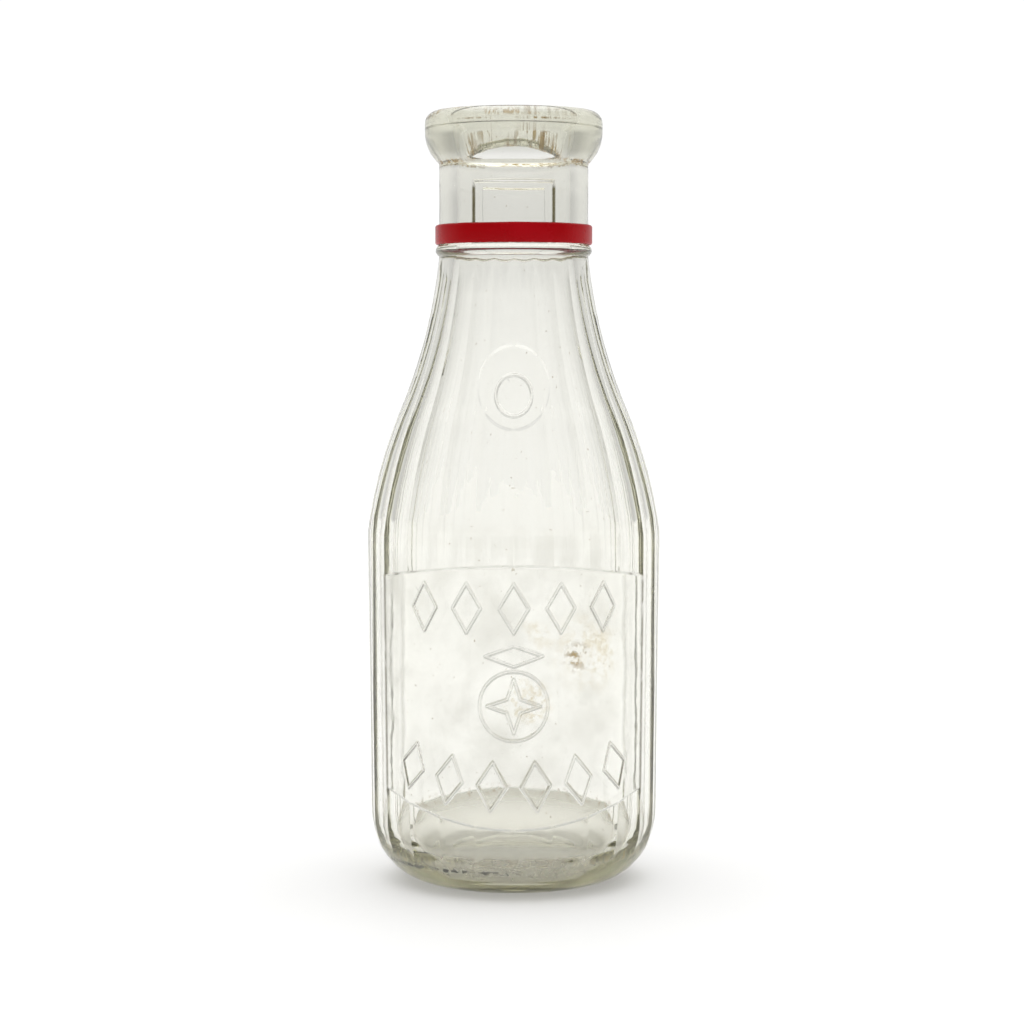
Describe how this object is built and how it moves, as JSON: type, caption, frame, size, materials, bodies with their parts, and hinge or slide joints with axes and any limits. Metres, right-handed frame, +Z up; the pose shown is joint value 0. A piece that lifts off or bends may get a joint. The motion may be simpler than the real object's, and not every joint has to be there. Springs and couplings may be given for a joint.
{
  "type": "glass milk bottle",
  "caption": "Clear moulded glass milk bottle with a fluted body, plain label panels, a rolled lip with a cap seat, and a red ring round its neck.",
  "frame": {"origin": "centre of the base, on the surface that the bottle stands on", "axes": "+Z up the bottle's axis to the mouth; -Y is the front, with the raised ornament; +X to the right seen from the front"},
  "size_m": [0.0948, 0.0952, 0.248],
  "materials": {
    "clear_glass": "polished",
    "red_band": "satin"
  },
  "bodies": {
    "bottle": {"glass_bottle": "clear_glass"},
    "band": {"neck_band": "red_band"}
  },
  "joints": [
    {"name": "band_slide", "type": "slide", "parent": "bottle", "child": "band", "axis": [0, 0, 1], "range_m": [0, 0.019]}
  ]
}
